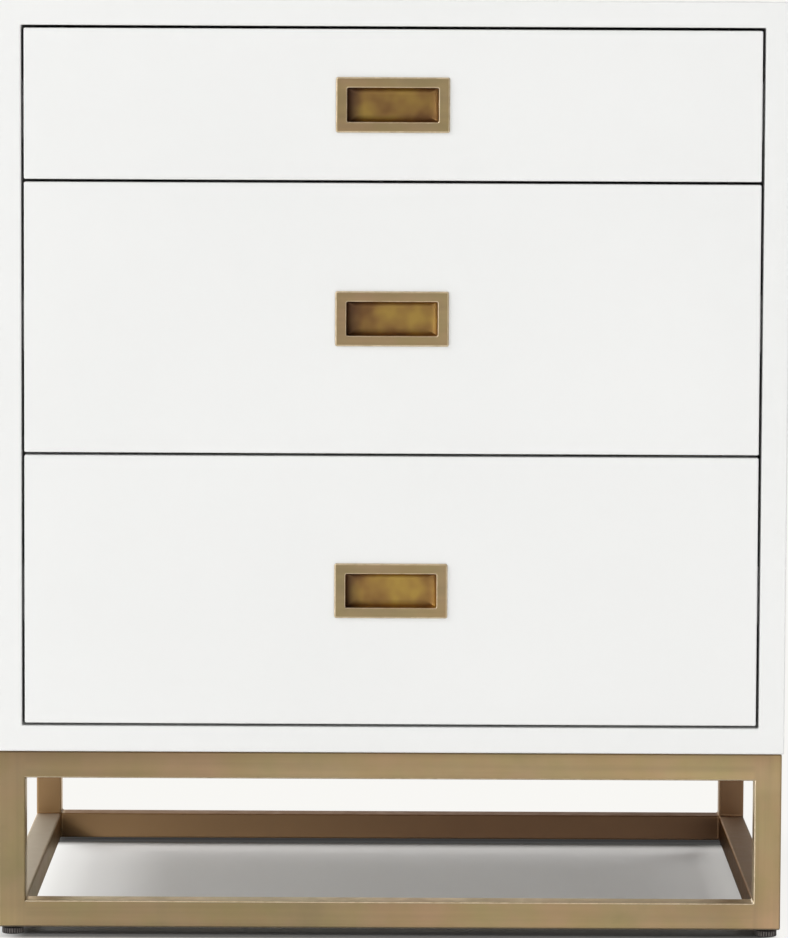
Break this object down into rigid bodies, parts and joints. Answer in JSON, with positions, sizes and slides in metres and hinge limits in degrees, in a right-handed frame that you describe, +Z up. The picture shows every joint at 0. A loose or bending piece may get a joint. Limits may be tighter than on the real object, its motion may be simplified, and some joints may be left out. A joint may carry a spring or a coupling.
{
  "type": "nightstand",
  "caption": "Lacquered nightstand with flush inset drawers on telescopic runners, recessed cup pulls and an open square-tube base with levelling feet.",
  "frame": {"origin": "on the floor, at the centre of the footprint", "axes": "+Z up, +X to the right as seen from the front, +Y to the back; the drawers open along -Y"},
  "size_m": [0.61, 0.459, 0.7243],
  "materials": {
    "white_lacquer": "satin white lacquer",
    "antique_brass": "aged satin brass",
    "drawer_wood": "clear oiled birch",
    "zinc_steel": "zinc plated",
    "dark_plastic": "moulded"
  },
  "bodies": {
    "carcass": {"top_panel": "white_lacquer", "bottom_panel": "white_lacquer", "left_side_panel": "white_lacquer", "right_side_panel": "white_lacquer", "back_panel": "white_lacquer", "case_dowels": "drawer_wood", "back_panel_screws": "zinc_steel", "slide_screws": "zinc_steel", "front_left_leg": "antique_brass", "front_right_leg": "antique_brass", "back_left_leg": "antique_brass", "back_right_leg": "antique_brass", "base_top_front_rail": "antique_brass", "base_top_back_rail": "antique_brass", "base_top_left_rail": "antique_brass", "base_top_right_rail": "antique_brass", "base_bottom_front_rail": "antique_brass", "base_bottom_back_rail": "antique_brass", "base_bottom_left_rail": "antique_brass", "base_bottom_right_rail": "antique_brass", "base_mounting_tabs": "antique_brass", "base_screws": "zinc_steel", "foot_inserts": "zinc_steel", "top_slide_fixed_rails": "zinc_steel", "middle_slide_fixed_rails": "zinc_steel", "bottom_slide_fixed_rails": "zinc_steel"},
    "top_drawer": {"top_drawer_front": "white_lacquer", "top_drawer_inner_front": "drawer_wood", "top_drawer_left_side": "drawer_wood", "top_drawer_right_side": "drawer_wood", "top_drawer_back": "drawer_wood", "top_drawer_bottom": "drawer_wood", "top_drawer_pull": "antique_brass", "top_drawer_screws": "zinc_steel", "top_slide_drawer_rails": "zinc_steel"},
    "top_runner": {"top_slide_middle_rails": "zinc_steel"},
    "middle_drawer": {"middle_drawer_front": "white_lacquer", "middle_drawer_inner_front": "drawer_wood", "middle_drawer_left_side": "drawer_wood", "middle_drawer_right_side": "drawer_wood", "middle_drawer_back": "drawer_wood", "middle_drawer_bottom": "drawer_wood", "middle_drawer_pull": "antique_brass", "middle_drawer_screws": "zinc_steel", "middle_slide_drawer_rails": "zinc_steel"},
    "middle_runner": {"middle_slide_middle_rails": "zinc_steel"},
    "bottom_drawer": {"bottom_drawer_front": "white_lacquer", "bottom_drawer_inner_front": "drawer_wood", "bottom_drawer_left_side": "drawer_wood", "bottom_drawer_right_side": "drawer_wood", "bottom_drawer_back": "drawer_wood", "bottom_drawer_bottom": "drawer_wood", "bottom_drawer_pull": "antique_brass", "bottom_drawer_screws": "zinc_steel", "bottom_slide_drawer_rails": "zinc_steel"},
    "bottom_runner": {"bottom_slide_middle_rails": "zinc_steel"},
    "front_left_foot": {"front_left_foot": "dark_plastic"},
    "front_right_foot": {"front_right_foot": "dark_plastic"},
    "back_left_foot": {"back_left_foot": "dark_plastic"},
    "back_right_foot": {"back_right_foot": "dark_plastic"}
  },
  "joints": [
    {"name": "top_drawer_slide", "type": "slide", "parent": "carcass", "child": "top_drawer", "axis": [0, -1, 0], "range_m": [0, 0.39]},
    {"name": "top_runner_slide", "type": "slide", "parent": "carcass", "child": "top_runner", "axis": [0, -1, 0], "range_m": [0, 0.195]},
    {"name": "middle_drawer_slide", "type": "slide", "parent": "carcass", "child": "middle_drawer", "axis": [0, -1, 0], "range_m": [0, 0.39]},
    {"name": "middle_runner_slide", "type": "slide", "parent": "carcass", "child": "middle_runner", "axis": [0, -1, 0], "range_m": [0, 0.195]},
    {"name": "bottom_drawer_slide", "type": "slide", "parent": "carcass", "child": "bottom_drawer", "axis": [0, -1, 0], "range_m": [0, 0.39]},
    {"name": "bottom_runner_slide", "type": "slide", "parent": "carcass", "child": "bottom_runner", "axis": [0, -1, 0], "range_m": [0, 0.195]},
    {"name": "front_left_foot_screw", "type": "slide", "parent": "carcass", "child": "front_left_foot", "axis": [0, 0, -1], "range_m": [0, 0.01]},
    {"name": "front_right_foot_screw", "type": "slide", "parent": "carcass", "child": "front_right_foot", "axis": [0, 0, -1], "range_m": [0, 0.01]},
    {"name": "back_left_foot_screw", "type": "slide", "parent": "carcass", "child": "back_left_foot", "axis": [0, 0, -1], "range_m": [0, 0.01]},
    {"name": "back_right_foot_screw", "type": "slide", "parent": "carcass", "child": "back_right_foot", "axis": [0, 0, -1], "range_m": [0, 0.01]}
  ],
  "couplings": [
    {"joint": "top_runner_slide", "follows": "top_drawer_slide", "ratio": 0.5},
    {"joint": "middle_runner_slide", "follows": "middle_drawer_slide", "ratio": 0.5},
    {"joint": "bottom_runner_slide", "follows": "bottom_drawer_slide", "ratio": 0.5}
  ]
}
